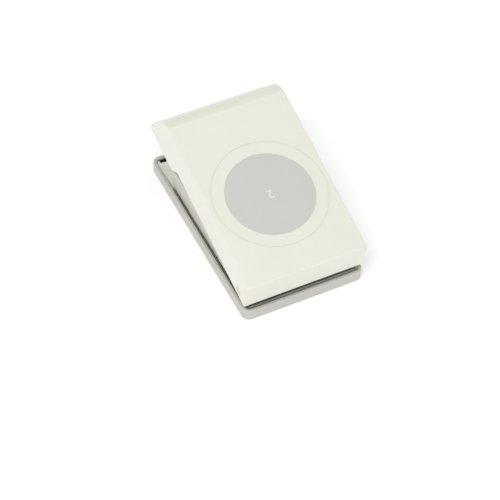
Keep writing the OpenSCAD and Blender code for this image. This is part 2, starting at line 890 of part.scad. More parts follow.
module pivot_pin() {
    color("#c9c9c4")
        raised()
            cross_bar(pin_d / 2, run - half_at(pivot_z), half_at(pivot_z) - run, pivot_y, pivot_z);
}

module press_bar() {
    color("#f0efe8")
        raised()
            side_profile(-press_l / 2, press_l / 2)
                intersection() {
                    union() {
                        translate([0, press_z])
                            circle(press_r);
                        translate([-press_r, press_z])
                            square(2 * press_r);
                    }
                    translate([-press_r, press_z - press_r])
                        square([2 * press_r, roof_z - fix_clear - press_z + press_r]);
                }
}

module lock_hooks() {
    color("#b9bbbd")
        raised()
            for (side = [-1, 1]) {
                x = side * hook_x;
                block([x - hook_w / 2, hook_front, hook_z], [x + hook_w / 2, hook_rear, bracket_z + hook_t]);
                block([x - hook_w / 2 - catch_l, hook_front, hook_z], [x, hook_rear, hook_z + catch_t]);
                difference() {
                    block([x - hook_w / 2, bracket_front, bracket_z],
                        [x + hook_w / 2, hook_rear, bracket_z + hook_t]);
                    translate([x, bracket_hole_y, bracket_z - eps])
                        cylinder(d = hook_screw_d + 2 * fix_clear, h = hook_t + 2 * eps);
                }
            }
}

module hook_screws() {
    color("#8d8d88")
        raised()
            for (side = [-1, 1])
                translate([side * hook_x, bracket_hole_y, bracket_z - hook_head_h])
                    difference() {
                        union() {
                            cylinder(r = hook_head_r, h = hook_head_h);
                            cylinder(d = hook_screw_d, h = hook_head_h + hook_screw_l);
                        }
                        cross_recess(hook_head_r);
                    }
}

// Lock: a slide whose keepers pass over the catches of the hooks, moved by a ribbed tab at the rear
module lock_slide() {
    color("#9b9993")
        on_axis()
            difference() {
                union() {
                    block([-hook_x - hook_w / 2 - catch_l - run - keeper_w, slide_front, slide_z],
                        [hook_x + hook_w / 2 + run + keeper_w, slide_rear, slide_z + slide_t]);
                    block([tab_x - tongue_w / 2, slide_front, slide_z],
                        [tab_x + tongue_w / 2, tab_rear - tab_t / 2, slide_z + slide_t]);
                    block([tab_x - tab_w / 2, tab_rear - tab_t, tab_z],
                        [tab_x + tab_w / 2, tab_rear, tab_top]);
                }
                for (side = [-1, 1])
                    translate([side * hook_x - hook_w / 2 - catch_l - run, notch_y, slide_z - eps])
                        cube([gate_l, tray_rear - notch_y, slide_t + 2 * eps]);
                for (x = [-2 * grip_pitch:grip_pitch:2 * grip_pitch])
                    block([tab_x + x - grip_w / 2, tab_rear - grip_depth, tab_z - eps],
                        [tab_x + x + grip_w / 2, tab_rear + eps, tab_top + eps]);
            }
}

base_tray();
die_plate();
throat_stop();
stripper_plate();
upper_frame();
guide_sleeve();
throat_rivets();
tray_screws();
spring_near_left();
spring_near_right();
spring_rear_left();
spring_rear_right();
cutter();
plunger_plate();
spring_posts();
cutter_screws();
pivot_pin();
lever_cover();
size_label();
press_bar();
lock_hooks();
hook_screws();
lock_slide();
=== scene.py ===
# %% [markdown]
# # A circle craft punch
# The punch stands on a grey moulded tray. A steel die plate and a folded steel frame sit in the tray, and a narrow
# slot runs between them. A cream moulded lever is hinged at the near end. Pressed at its far end, it drives a
# round cutter down into the die, and four coil springs lift it again.
#
# The packed solids already stand in the right place, in metres. This lesson dresses them: it rebuilds the
# mouldings, springs and sheet steel with soft edges and gives each piece the finish of the real one.

# %% Load the packed solids
import json
import math

import bmesh
import bpy
from mathutils import Matrix, Vector


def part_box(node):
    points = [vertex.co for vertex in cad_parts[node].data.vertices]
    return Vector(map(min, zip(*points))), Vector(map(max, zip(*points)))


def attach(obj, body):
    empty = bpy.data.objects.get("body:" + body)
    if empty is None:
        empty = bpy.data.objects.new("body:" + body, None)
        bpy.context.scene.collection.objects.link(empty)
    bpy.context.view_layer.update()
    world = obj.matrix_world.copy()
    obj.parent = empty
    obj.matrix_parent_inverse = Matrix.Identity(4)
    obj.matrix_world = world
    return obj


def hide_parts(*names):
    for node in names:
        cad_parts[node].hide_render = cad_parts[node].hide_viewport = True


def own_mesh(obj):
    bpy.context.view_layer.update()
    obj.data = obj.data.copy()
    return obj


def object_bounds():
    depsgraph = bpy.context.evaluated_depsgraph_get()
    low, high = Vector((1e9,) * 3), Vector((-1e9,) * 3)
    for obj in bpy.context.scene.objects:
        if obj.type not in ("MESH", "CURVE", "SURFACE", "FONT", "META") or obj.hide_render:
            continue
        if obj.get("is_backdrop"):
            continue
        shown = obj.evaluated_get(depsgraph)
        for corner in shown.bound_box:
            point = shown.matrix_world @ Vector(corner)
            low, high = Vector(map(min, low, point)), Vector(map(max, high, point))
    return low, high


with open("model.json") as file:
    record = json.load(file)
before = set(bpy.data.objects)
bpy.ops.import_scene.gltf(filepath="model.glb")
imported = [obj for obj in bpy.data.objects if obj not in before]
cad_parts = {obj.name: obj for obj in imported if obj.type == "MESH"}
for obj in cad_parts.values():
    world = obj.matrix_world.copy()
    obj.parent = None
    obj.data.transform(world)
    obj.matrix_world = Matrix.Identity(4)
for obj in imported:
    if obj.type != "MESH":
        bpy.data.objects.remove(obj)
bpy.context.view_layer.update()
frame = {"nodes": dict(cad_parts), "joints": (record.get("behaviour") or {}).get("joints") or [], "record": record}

MM = 0.001

# %% [markdown]
# ## Camera
# The camera comes first, because every later choice is judged through it. It could be placed by eye, but a fit is
# surer: it was solved from the straight edges of the lever and the outline of the round label. The result is a
# long lens from the near left that looks down at about 50 degrees. The fit also says where one known point, the
# middle of the near edge on the table, falls in the view, and the eye is put where that comes true.

# %% Measures of the view
VIEW_SIDE = 500
FOCAL_PX = 2000
SENSOR = 36
DISTANCE = 1097.26 * MM
TURN, TILT, ROLL = math.radians(-27.76), math.radians(50.21), math.radians(2.37)
NEAR_FOOT = Vector((0, -61.08 * MM, 0))
FOOT_PX = Vector((303.58, 298.43))
print("view from", round(DISTANCE, 3), "m, looking down by", round(math.degrees(TILT), 1), "degrees")

# %% Place the camera
back = Vector((math.sin(TURN) * math.cos(TILT), -math.cos(TURN) * math.cos(TILT), math.sin(TILT)))
level_right = (-back).cross(Vector((0, 0, 1))).normalized()
level_up = level_right.cross(-back)
right = math.cos(ROLL) * level_right + math.sin(ROLL) * level_up
up = math.cos(ROLL) * level_up - math.sin(ROLL) * level_right
off_x, off_y = (FOOT_PX - Vector((VIEW_SIDE, VIEW_SIDE)) / 2) / FOCAL_PX * DISTANCE
eye = NEAR_FOOT + back * DISTANCE - right * off_x + up * off_y

scene = bpy.context.scene
camera = bpy.data.objects.new("camera", bpy.data.cameras.new("camera"))
scene.collection.objects.link(camera)
camera.data.sensor_width = SENSOR
camera.data.lens = SENSOR * FOCAL_PX / VIEW_SIDE
camera.matrix_world = Matrix((right, up, back)).transposed().to_4x4()
camera.location = eye
scene.camera = camera
print("camera at", [round(x, 3) for x in eye], "lens", camera.data.lens)

# %% [markdown]
# ## Light
# The light is that of a bright catalogue shot, with pale shadows. A single lamp would leave black ones, so an even
# white world fills from all round and three soft panels shape the form. The wide left one models the walls and
# the tail, a small one at the near right draws a thin bright line along the front edge, and one overhead fills
# the top. The standard view transform keeps the whites white.

# %% Light the stage
WORLD_LIGHT = 0.62
AIM = Vector((0, 0, 0.02))
PANELS = {
    "left_panel": ((-1.20, -0.50, 1.90), 1.4, 19.0),
    "near_panel": ((0.66, -1.25, 1.70), 0.5, 5.6),
    "top_panel": ((0.00, 0.00, 2.10), 1.4, 3.4),
}
scene.view_settings.view_transform = "Standard"
world = bpy.data.worlds.new("studio")
world.use_nodes = True
background = world.node_tree.nodes["Background"]
background.inputs["Color"].default_value = (1, 1, 1, 1)
background.inputs["Strength"].default_value = WORLD_LIGHT
scene.world = world

for name, (place, side, watts) in PANELS.items():
    light = bpy.data.lights.new(name, "AREA")
    light.shape, light.size, light.energy = "SQUARE", side, watts
    panel = bpy.data.objects.new(name, light)
    panel.location = place
    panel.rotation_euler = (AIM - Vector(place)).to_track_quat("-Z", "Y").to_euler()
    scene.collection.objects.link(panel)
print("panels:", list(PANELS), "world:", WORLD_LIGHT)

# %% [markdown]
# ## Writing materials as expressions
# A finish is a small graph of nodes. Wiring it by hand takes many lines, so one class wraps a socket: arithmetic
# on wrapped values adds Math nodes, and one method adds any other node, sets it up and feeds its sockets. Every
# pattern reads Object coordinates. All pieces sit at the origin, so these are metres in the punch's own frame.

# %% Wrap the sockets


class Wire:
    """One output of a material's node tree."""

    def __init__(self, tree, socket=None):
        self.tree, self.socket = tree, socket

    def node(self, kind, settings=(), values=(), out=0):
        """Adds a node, sets it up, feeds its sockets and returns one of its outputs."""
        made = self.tree.nodes.new("ShaderNode" + kind)
        for key, value in dict(settings).items():
            setattr(made, key, value)
        for key, value in dict(values).items():
            if isinstance(value, Wire):
                self.tree.links.new(value.socket, made.inputs[key])
            else:
                made.inputs[key].default_value = value
        return Wire(self.tree, made.outputs[out])

    def math(self, operation, a, b=0.0):
        return self.node("Math", {"operation": operation}, {0: a, 1: b})

    def __add__(self, other):
        return self.math("ADD", self, other)

    def __radd__(self, other):
        return self.math("ADD", other, self)

    def __sub__(self, other):
        return self.math("SUBTRACT", self, other)

    def __rsub__(self, other):
        return self.math("SUBTRACT", other, self)

    def __mul__(self, other):
        return self.math("MULTIPLY", self, other)

    def __rmul__(self, other):
        return self.math("MULTIPLY", other, self)


print("operators on sockets:", [n for n in vars(Wire) if n.startswith("__r")])

# %% [markdown]
# Every finish starts the same way, with a new material, its shader and its coordinates. Colours are written as a
# screen shows them, from 0 to 255, because they are judged on one. A shader works in light values, so a helper
# converts them by the curve that screens use.

# %% Start a material
OBJECT_OUT = 3


def linear(red, green, blue):
    """A colour in screen values from 0 to 255, as the light values that a shader takes."""
    shades = [c / 255 for c in (red, green, blue)]
    return tuple(c / 12.92 if c <= 0.04045 else ((c + 0.055) / 1.055) ** 2.4 for c in shades)


def begin(name):
    """A new material, its shader and its wrapped Object coordinates."""
    material = bpy.data.materials.new(name)
    material.use_nodes = True
    tree = material.node_tree
    return material, tree.nodes["Principled BSDF"], Wire(tree).node("TexCoord", out=OBJECT_OUT)


print("screen grey 128 is", round(linear(128, 128, 128)[0], 3), "in light")

# %% [markdown]
# Four more helpers keep the finishes short: one gives noise, one a ramp between two values, one mixes two colours
# and one feeds the shader. Their nodes could be written out each time, but the same four are in every finish.

# %% Draw the patterns of a finish
MIX_FACTOR, MIX_A, MIX_B, MIX_OUT = 0, 6, 7, 2


def noise(place, waves, detail):
    """Noise with so many waves to a unit of its coordinates."""
    return place.node("TexNoise", values={"Vector": place, "Scale": waves, "Detail": detail})


def ramp(value, low, high):
    """0 up to one value, 1 beyond another, and straight between them."""
    return value.node("MapRange", {"clamp": True}, {0: value, 1: low, 2: high})


def mixed(factor, first, second):
    """The first colour where a factor is 0, and the second where it is 1."""
    first, second = (c if isinstance(c, Wire) else (*c, 1) for c in (first, second))
    return factor.node("Mix", {"data_type": "RGBA"}, {MIX_FACTOR: factor, MIX_A: first, MIX_B: second}, MIX_OUT)


def feed(shader, **values):
    """Sets the shader's sockets: a number or colour straight away, a wrapped value by a link."""
    for key, value in values.items():
        socket = shader.inputs[key.replace("_", " ").title()]
        if isinstance(value, Wire):
            value.tree.links.new(value.socket, socket)
        else:
            socket.default_value = (*value, 1) if isinstance(value, tuple) else value


print("helpers:", [helper.__name__ for helper in (noise, ramp, mixed, feed)])

# %% [markdown]
# ## Painted shade in the lock's pockets
# The pockets in which the lock slides are deep and narrow, and shade fills them. That shade is painted: a mask on
# the coordinates, the same on the left and the right, darkens the tray there. For each axis it measures the
# distance from the middle of the pocket, and fades at the ends.

# %% Mask the painted shade of the pockets
# Painted shade: a dark colour for the deep lock pockets, where shade falls.
PAINTED_POCKET_SHADE = linear(50, 48, 41)
PAINTED_POCKET_SHADE_FADE = 0.3 * MM
lock_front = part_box("lock_slide")[0].y
deck_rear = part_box("upper_frame")[1].y
shade_low = Vector((17.6 * MM, lock_front, 1.0 * MM))
shade_high = Vector((32.6 * MM, deck_rear + 0.8 * MM, 6.45 * MM))
shade_middle, shade_half = (shade_low + shade_high) / 2, (shade_high - shade_low) / 2


def pocket_shade_mask(place):
    """1 inside the lock's pockets on both sides, where shade is painted, fading to 0 at their ends."""
    masks = []
    for axis in range(3):
        along = place.node("SeparateXYZ", values={"Vector": place}, out=axis)
        if axis == 0:
            along = place.math("ABSOLUTE", along)
        off = place.math("ABSOLUTE", along - shade_middle[axis])
        masks.append(ramp(off, shade_half[axis], shade_half[axis] - PAINTED_POCKET_SHADE_FADE))
    return masks[0] * masks[1] * masks[2]


print("greased pocket in mm:", [round(2 * x / MM, 1) for x in shade_half])

# %% [markdown]
# ## Finish of the mouldings
# The lever is a smooth cream moulding with a satin sheen; the tray and the lock are grey, with the fine grain that
# a spark-eroded mould leaves. A plain colour would look like a drawing, so noise at three sizes breaks it up:
# clouds of a few centimetres for the slight unevenness of colour, spots of a few millimetres for the sheen, and a
# grain far below a millimetre for the bump.

# %% Mould the plastics
CLOUD_WAVES, SPOT_WAVES = 38.0, 420.0
CLOUD_SHARE, SPOT_SHARE = 0.7, 0.3
TONE_LOW, TONE_HIGH = 0.35, 0.65
SPOT_SHEEN, COAT_SHEEN = 0.1, 0.15
GRAIN_STRENGTH = 0.5


def moulded(name, shade, darker, sheen, grain_size, grain_depth, coat=0.0, painted_shade=False):
    """A moulded plastic between two close colours; sheen is its roughness, and its grain is in millimetres."""
    material, shader, place = begin(name)
    clouds, spots = noise(place, CLOUD_WAVES, detail=3.0), noise(place, SPOT_WAVES, detail=4.0)
    grain = noise(place, 1 / (grain_size * MM), detail=2.0)
    colour = mixed(ramp(clouds * CLOUD_SHARE + spots * SPOT_SHARE, TONE_LOW, TONE_HIGH), darker, shade)
    # Painted shade: darker inside the lock's pockets, where shade falls.
    if painted_shade:
        colour = mixed(pocket_shade_mask(place), colour, PAINTED_POCKET_SHADE)
    height = {"Strength": GRAIN_STRENGTH, "Distance": grain_depth * MM, "Height": grain}
    feed(shader, base_color=colour, roughness=sheen - SPOT_SHEEN / 2 + SPOT_SHEEN * spots,
         normal=place.node("Bump", values=height), coat_weight=coat, coat_roughness=COAT_SHEEN)
    return material


cream = moulded("cream_moulding", linear(229, 228, 217), linear(226, 225, 213), sheen=0.36,
                grain_size=0.35, grain_depth=0.008, coat=0.2)
# The tray carries the painted shade of the lock's pockets.
tray_grey = moulded("tray_grey", linear(199, 197, 190), linear(194, 192, 185), sheen=0.52,
                    grain_size=0.22, grain_depth=0.020, painted_shade=True)
lock_grey = moulded("lock_grey", linear(158, 156, 150), linear(150, 148, 142), sheen=0.50,
                    grain_size=0.22, grain_depth=0.020)
acetal = moulded("natural_acetal", linear(236, 234, 226), linear(229, 227, 218), sheen=0.38,
                 grain_size=0.40, grain_depth=0.008)
print("plastics:", [m.name for m in (cream, tray_grey, lock_grey, acetal)])

# %% [markdown]
# ## Finish of the label
# The label is a printed film: an even grey with the faint mottle of the print and a matt varnish. The size stands
# on it in white. Both inks are close to a moulding with hardly any grain, so the same function makes them.

# %% Print the label
label_grey = moulded("label_print", linear(202, 200, 196), linear(199, 197, 192), sheen=0.46,
                     grain_size=0.18, grain_depth=0.004)
label_white = moulded("label_white", linear(228, 227, 225), linear(224, 223, 221), sheen=0.46,
                      grain_size=0.18, grain_depth=0.004)
print("label inks:", label_grey.name, label_white.name)

# %% [markdown]
# ## Finish of the metals
# The sheet of the frame is satin steel: rolling leaves streaks along the sheet, far longer than they are wide.
# They could be a bump alone, but real streaks change the tone and the sheen too, so one noise feeds all three. Its
# coordinates are squeezed along the sheet, which draws it out. The frame's flange gets a lighter tone as painted
# light, and its walls under the lever a darker one as painted shade, so a ramp over the height mixes the two
# tones.
# The die and the cutter are ground finer, and screws, rivets and pin have a zinc coat with soft mottling.

# %% Roll the metals
STREAK_SHARE, PATCH_SHARE, PATCH_WAVES = 0.6, 0.4, 60.0
STREAK_SHEEN, STREAK_STRENGTH = 0.16, 0.4
SHADE_FROM, SHADE_TO = 7.1 * MM, 8.1 * MM
SHADE_SHARE, SHADE_STREAKS = 1.25, 0.5


def rolled(name, shade, darker, sheen, stretch, depth, metal=1.0, shaded=None):
    """A metal with streaks; stretch is how many there are to a metre along X, Y and Z.

    If a shaded colour is given, the sheet turns to it over a narrow band of height, most in its darker streaks:
    painted shade where the sheet stands under the lever.
    """
    material, shader, place = begin(name)
    stretched = place.node("Mapping", values={"Vector": place, "Scale": stretch})
    streaks, patches = noise(stretched, waves=1.0, detail=5.0), noise(place, PATCH_WAVES, detail=2.0)
    tone = ramp(streaks * STREAK_SHARE + patches * PATCH_SHARE, TONE_LOW, TONE_HIGH)
    colour = mixed(tone, darker, shade)
    # Painted shade: above the flange, under the lever, the sheet turns to a darker tone.
    if shaded:
        above = ramp(place.node("SeparateXYZ", values={"Vector": place}, out=2), SHADE_FROM, SHADE_TO)
        colour = mixed(above * (SHADE_SHARE - SHADE_STREAKS * tone), colour, shaded)
    height = {"Strength": STREAK_STRENGTH, "Distance": depth * MM, "Height": streaks}
    feed(shader, base_color=colour, metallic=metal, roughness=sheen - STREAK_SHEEN / 2 + STREAK_SHEEN * streaks,
         normal=place.node("Bump", values=height))
    return material


print("sheet turns dull from", round(SHADE_FROM / MM, 1), "to", round(SHADE_TO / MM, 1), "mm")

# %% Finish the metals
ROLLED_ALONG, GROUND_ACROSS = (1400, 40, 1400), (60, 2200, 2200)
WIRE_EVEN, ZINC_EVEN = (900, 900, 900), (700, 700, 700)

satin_steel = rolled("satin_steel", linear(226, 224, 212), linear(214, 212, 199), sheen=0.36,
                     stretch=ROLLED_ALONG, depth=0.003, metal=0.6)
# Painted light on the low flange and painted shade on the walls above it, under the lever.
folded_steel = rolled("folded_steel", linear(246, 245, 234), linear(238, 237, 225), sheen=0.34,
                      stretch=ROLLED_ALONG, depth=0.003, metal=0.4, shaded=linear(196, 195, 184))
ground_steel = rolled("ground_steel", linear(218, 218, 215), linear(204, 204, 202), sheen=0.28,
                      stretch=GROUND_ACROSS, depth=0.003)
spring_steel = rolled("spring_steel", linear(188, 190, 193), linear(168, 170, 174), sheen=0.30,
                      stretch=WIRE_EVEN, depth=0.002)
zinc = rolled("zinc_coat", linear(224, 224, 218), linear(206, 207, 203), sheen=0.38,
              stretch=ZINC_EVEN, depth=0.003, metal=0.8)
print("metals:", [m.name for m in (satin_steel, folded_steel, ground_steel, spring_steel, zinc)])

# %% [markdown]
# ## Making and cutting pieces
# A piece starts as a bmesh and becomes an object at the origin. Holes and pockets could be worked into its faces
# by hand. Boolean modifiers are quicker to read and to change, and their result is kept at once, so no cutting
# tool is left in the scene.

# %% Make and cut pieces


def as_object(name, bm):
    """An object at the origin that holds the mesh of a bmesh."""
    mesh = bpy.data.meshes.new(name)
    bm.to_mesh(mesh)
    bm.free()
    made = bpy.data.objects.new(name, mesh)
    scene.collection.objects.link(made)
    return made


def finished_mesh(thing):
    """The mesh that an object shows, with its modifiers or its text made real."""
    bpy.context.view_layer.update()
    return bpy.data.meshes.new_from_object(thing.evaluated_get(bpy.context.evaluated_depsgraph_get()))


def combine(thing, tool, operation="DIFFERENCE"):
    """Cuts, joins or trims a piece with a tool, which is used up."""
    modifier = thing.modifiers.new("combine", "BOOLEAN")
    modifier.solver, modifier.operation, modifier.object = "EXACT", operation, tool
    done, before, used = finished_mesh(thing), thing.data, tool.data
    thing.modifiers.clear()
    thing.data = done
    bpy.data.objects.remove(tool)
    for mesh in (before, used):
        bpy.data.meshes.remove(mesh)


# %% [markdown]
# Most of the punch is laid out about the axis of its round cutter. Places could be written in metres from the
# punch's own origin, but then hardly any number would be a round one. So they are written in millimetres about the
# cutter's axis, as on a drawing, and one helper turns them into metres.

# %% Find the punch axis
sleeve_low, sleeve_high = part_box("guide_sleeve")
axis_y = (sleeve_low.y + sleeve_high.y) / 2


def on_axis(point):
    """A point in millimetres about the punch axis, as metres in the punch's own frame."""
    return Vector(point) * MM + Vector((0, axis_y, 0))


print("punch axis at y =", round(axis_y / MM, 3), "mm")

# %% [markdown]
# ## Lever
# The lever is one moulding: a drafted box whose top bends over into a leaning rear wall. It is drawn pressed flat,
# where its lines are square to the punch, and turned up about the hinge at the end. The bend is a wide roll above
# the rear wall and a tight crease into the top. Both lean by the same angle where they touch, which gives the
# places of their axes.

# %% Measures of the lever
hinge = next(j for j in frame["joints"] if j["name"] == "lever_hinge")
pivot = Vector(hinge["pos_m"])
rest_angle = math.radians(hinge["range_deg"][1])
raise_lever = Matrix.Translation(pivot) @ Matrix.Rotation(rest_angle, 4, "X") @ Matrix.Translation(-pivot)
pivot_mm = (pivot - on_axis((0, 0, 0))) / MM

DRAFT = math.tan(math.radians(3.3))
LEAN, CREASE_LEAN = math.radians(29), math.radians(70)
LEVER_HALF, NEAR_Y, TAIL_Y = 36.8, -50.0, 76.3
TOP_Z, WALL_Z, SKIRT_Z = 31.888, 14.0, 8.1
WALL, TOP_WALL = 1.9, 2.0
ROLL_R, CREASE_R, EDGE_R, CORNER_R, LEAST_R = 18.0, 4.0, 0.8, 3.3, 0.3
ROLL_Z = TOP_Z - CREASE_R - (ROLL_R - CREASE_R) * math.sin(CREASE_LEAN)
ROLL_Y = TAIL_Y - (ROLL_Z - SKIRT_Z) * math.tan(LEAN) - ROLL_R / math.cos(LEAN)
CREASE_Y = ROLL_Y + (ROLL_R - CREASE_R) * math.cos(CREASE_LEAN)
print("lever turns up by", round(math.degrees(rest_angle), 2), "degrees about", [round(x, 2) for x in pivot_mm])

# %% [markdown]
# The form could be a box with bevels, but then the rear edges would not keep their round along the bend. So it is
# a loft: its outline in plan is worked out at many heights, and neighbouring outlines are bridged. Each outline is
# a rectangle with four round corners. Going up, the sides close in by the draft and, over the last bit, by the
# round of the upper edge. The rear end follows the leaning wall, the roll and the crease. The rear corners of the
# bend are slices through ring-shaped edges, found from the distance to the bend's axis.

# %% Outlines of the lever
CORNER_STEPS = 6


def arc(start):
    """Cosine and sine of even steps from an angle to a quarter turn."""
    turns = [start + (math.pi / 2 - start) * i / CORNER_STEPS for i in range(CORNER_STEPS + 1)]
    return [(math.cos(t), math.sin(t)) for t in turns]


def bend_y(z, drawn_in):
    """Where the crease or the roll, drawn in by a distance, is at a height."""
    over_crease = z - (TOP_Z - CREASE_R)
    if over_crease > (CREASE_R - drawn_in) * math.sin(CREASE_LEAN):
        return CREASE_Y + math.sqrt(max((CREASE_R - drawn_in) ** 2 - over_crease ** 2, 0))
    return ROLL_Y + math.sqrt(max((ROLL_R - drawn_in) ** 2 - (z - ROLL_Z) ** 2, 0))


def lever_outline(z, tail, wall, deep, edge, corner, top):
    """The outline at one height, from the near left corner round to the rear left one.

    The form is drawn in by a wall, and at the bend by a depth. Its upper edge has a radius and its rear corners
    have another. Where the rear wall ends and the bend begins, tail is None.
    """
    sunk = max(edge - (top - z), 0)
    inset = edge - math.sqrt(max(edge ** 2 - sunk ** 2, 0))
    half = LEVER_HALF - (z - WALL_Z) * DRAFT - wall
    near = NEAR_Y + (z - WALL_Z) * DRAFT + wall + inset
    near_r = edge - inset
    near_corner = [(half - inset - near_r + near_r * s, near + near_r - near_r * c) for c, s in arc(0)]
    if tail is None:
        first = math.asin(min(sunk / edge, 1))
        rear_corner = [(half - edge + edge * c, bend_y(z, deep + edge - edge * s)) for c, s in arc(first)]
    else:
        long_r = corner / math.cos(LEAN)
        rear_corner = [(half - corner + corner * c, tail - long_r + long_r * s) for c, s in arc(0)]
    right_half = near_corner + rear_corner
    return [(x, y, z) for x, y in right_half] + [(-x, y, z) for x, y in reversed(right_half)]


print("points in an outline:", 4 * (CORNER_STEPS + 1))

# %% [markdown]
# The heights of the outlines are even along the wall and follow even turns along the roll and the crease, so that
# the steps are fine where the form bends most. The same loft, drawn in by the wall and started a little lower,
# makes the hollow.

# %% Loft of the lever
WALL_STEPS, BEND_STEPS = 6, 12
LOFT_WELD = 1e-6
HOLLOW_LOW = SKIRT_Z - 1


def lever_form(wall, top_wall, low_z):
    """A closed bmesh of the lever's form, drawn in by a wall and by the thickness of its top."""
    top, deep = TOP_Z - top_wall, max(wall, top_wall)
    edge, corner = max(EDGE_R - wall, LEAST_R), max(CORNER_R - wall, LEAST_R)
    bend_z = ROLL_Z + (ROLL_R - deep) * math.sin(LEAN)
    outlines = []
    for i in range(WALL_STEPS):
        z = low_z + (bend_z - low_z) * i / WALL_STEPS
        tail = TAIL_Y - (z - SKIRT_Z) * math.tan(LEAN) - wall / math.cos(LEAN)
        rear_r = corner + (edge - corner) * i / WALL_STEPS
        outlines.append(lever_outline(z, tail, wall, deep, edge, rear_r, top))
    turns = [LEAN + (CREASE_LEAN - LEAN) * i / BEND_STEPS for i in range(BEND_STEPS)]
    heights = [ROLL_Z + (ROLL_R - deep) * math.sin(t) for t in turns]
    turns = [CREASE_LEAN + (math.pi / 2 - CREASE_LEAN) * i / BEND_STEPS for i in range(BEND_STEPS + 1)]
    heights += [TOP_Z - CREASE_R + (CREASE_R - deep) * math.sin(t) for t in turns]
    outlines += [lever_outline(z, None, wall, deep, edge, edge, top) for z in heights]

    bm = bmesh.new()
    loops = []
    for outline in outlines:
        points = [bm.verts.new(on_axis(p)) for p in outline]
        loops.append([bm.edges.new((points[i - 1], points[i])) for i in range(len(points))])
    for lower, upper in zip(loops, loops[1:]):
        bmesh.ops.bridge_loops(bm, edges=lower + upper)
    bmesh.ops.holes_fill(bm, edges=bm.edges, sides=0)
    bmesh.ops.remove_doubles(bm, verts=bm.verts, dist=LOFT_WELD)
    bmesh.ops.recalc_face_normals(bm, faces=bm.faces)
    return bm


lever = as_object("lever_shell", lever_form(0, 0, SKIRT_Z))
combine(lever, as_object("hollow", lever_form(WALL, TOP_WALL, HOLLOW_LOW)))
print("lever wall cut, faces:", len(lever.data.polygons))

# %% [markdown]
# The walls are shallow along the frame and deeper at the rear, with a short slope between the two. Each wall could
# be trimmed by itself. One plate with that profile, extruded across the whole punch, cuts both sides alike.

# %% Cut the skirt
SKIRT_Y = 38.7
CUT_OVER, CUT_UNDER = 3, 1


def add_plate(bm, x0, x1, profile):
    """Adds a plate with a profile in Y and Z between two places across the punch."""
    outline = [bm.verts.new(on_axis((x0, y, z))) for y, z in profile]
    grown = bmesh.ops.extrude_face_region(bm, geom=[bm.faces.new(outline)])
    moved = [g for g in grown["geom"] if isinstance(g, bmesh.types.BMVert)]
    bmesh.ops.translate(bm, vec=((x1 - x0) * MM, 0, 0), verts=moved)
    bmesh.ops.recalc_face_normals(bm, faces=bm.faces)


def alone(add, *measures):
    """A new bmesh that holds one raw shape."""
    bm = bmesh.new()
    add(bm, *measures)
    return bm


cut_low = SKIRT_Z - CUT_UNDER
skirt_profile = [(NEAR_Y - CUT_OVER, WALL_Z), (SKIRT_Y, WALL_Z), (SKIRT_Y + WALL_Z - cut_low, cut_low),
                 (NEAR_Y - CUT_OVER, cut_low)]
skirt = alone(add_plate, -LEVER_HALF - CUT_OVER, LEVER_HALF + CUT_OVER, skirt_profile)
combine(lever, as_object("skirt_cut", skirt))
print("skirt cut, faces:", len(lever.data.polygons))

# %% [markdown]
# The lower rim gets the fine break that a mould's parting line leaves. Edges picked by number would change with
# the form, so they are found by their height and by the angle between their faces, and bevelled together.

# %% Break the lower rim
RIM_BREAK, RIM_SHARP = 0.25, math.radians(50)
TOUCH = 0.01


def break_edges(bm, edges, width, steps, clamped=False):
    """Rounds edges over a width in millimetres."""
    bmesh.ops.bevel(bm, geom=edges, offset=width * MM, offset_type="OFFSET", segments=steps, profile=0.5,
                    affect="EDGES", clamp_overlap=clamped, material=-1)


bm = bmesh.new()
bm.from_mesh(lever.data)
lower_edges = [e for e in bm.edges if e.calc_face_angle(0) > RIM_SHARP
               and all(v.co.z < (WALL_Z + TOUCH) * MM for v in e.verts)]
break_edges(bm, lower_edges, RIM_BREAK, steps=2, clamped=True)
bm.to_mesh(lever.data)
bm.free()
print("lower rim broken at", len(lower_edges), "edges")

# %% [markdown]
# Inside, ribs stiffen the top, two holders grip the press bar, bosses carry the lock's hooks, and round bosses
# take the pin. Each could be fitted to the walls by hand. Trimming it with the lever's own form, drawn in by half
# a wall, does the same: it then ends inside the walls and joins them cleanly.

# %% Measures of the ribs and bosses
RIB_T, RIB_X = 1.4, 17.0
RIB_Z, NEAR_RIB_Z, TAIL_RIB_Z = 25.2, 24.44, SKIRT_Z + 9
PLUNGER_Y, FRAME_REAR = 23.4, 49.2
SLOPE_START, SLOPE_END = FRAME_REAR + 0.3, FRAME_REAR + 8
NEAR_START, NEAR_END = -PLUNGER_Y - 4.4, -PLUNGER_Y - 3
PRESS_HALF, PRESS_R, PRESS_GAP, ROOF_Z, HOLDER_H = 15.0, 4.0, 0.02, 29.888, 2.4
HOOK_X, BOSS_HALF, BOSS_FRONT, BOSS_Z = 24.0, 3.25, 62.0, 9.92
PIN_R, PIN_BOSS_R, PIN_BOSS_X = 2.4, 4.4, 34.2

CROSS_RIBS = (PLUNGER_Y / 3, PLUNGER_Y + 6, FRAME_REAR - 1.5)
long_rib = [(CROSS_RIBS[0], TOP_Z), (CROSS_RIBS[0], RIB_Z), (SLOPE_START, RIB_Z), (SLOPE_END, TAIL_RIB_Z),
            (TAIL_Y, TAIL_RIB_Z), (TAIL_Y, TOP_Z)]
near_rib = [(NEAR_Y, TOP_Z), (NEAR_Y, NEAR_RIB_Z), (NEAR_START, NEAR_RIB_Z), (NEAR_END, ROOF_Z), (NEAR_END, TOP_Z)]
print("long ribs at x =", RIB_X, "cross ribs at y =", [round(y, 1) for y in CROSS_RIBS])

# %% Shape the ribs and bosses


def add_block(bm, low, high):
    """Adds a box between two corners."""
    low, high = on_axis(low), on_axis(high)
    made = bmesh.ops.create_cube(bm, size=1)["verts"]
    bmesh.ops.scale(bm, vec=high - low, verts=made)
    bmesh.ops.translate(bm, vec=(low + high) / 2, verts=made)


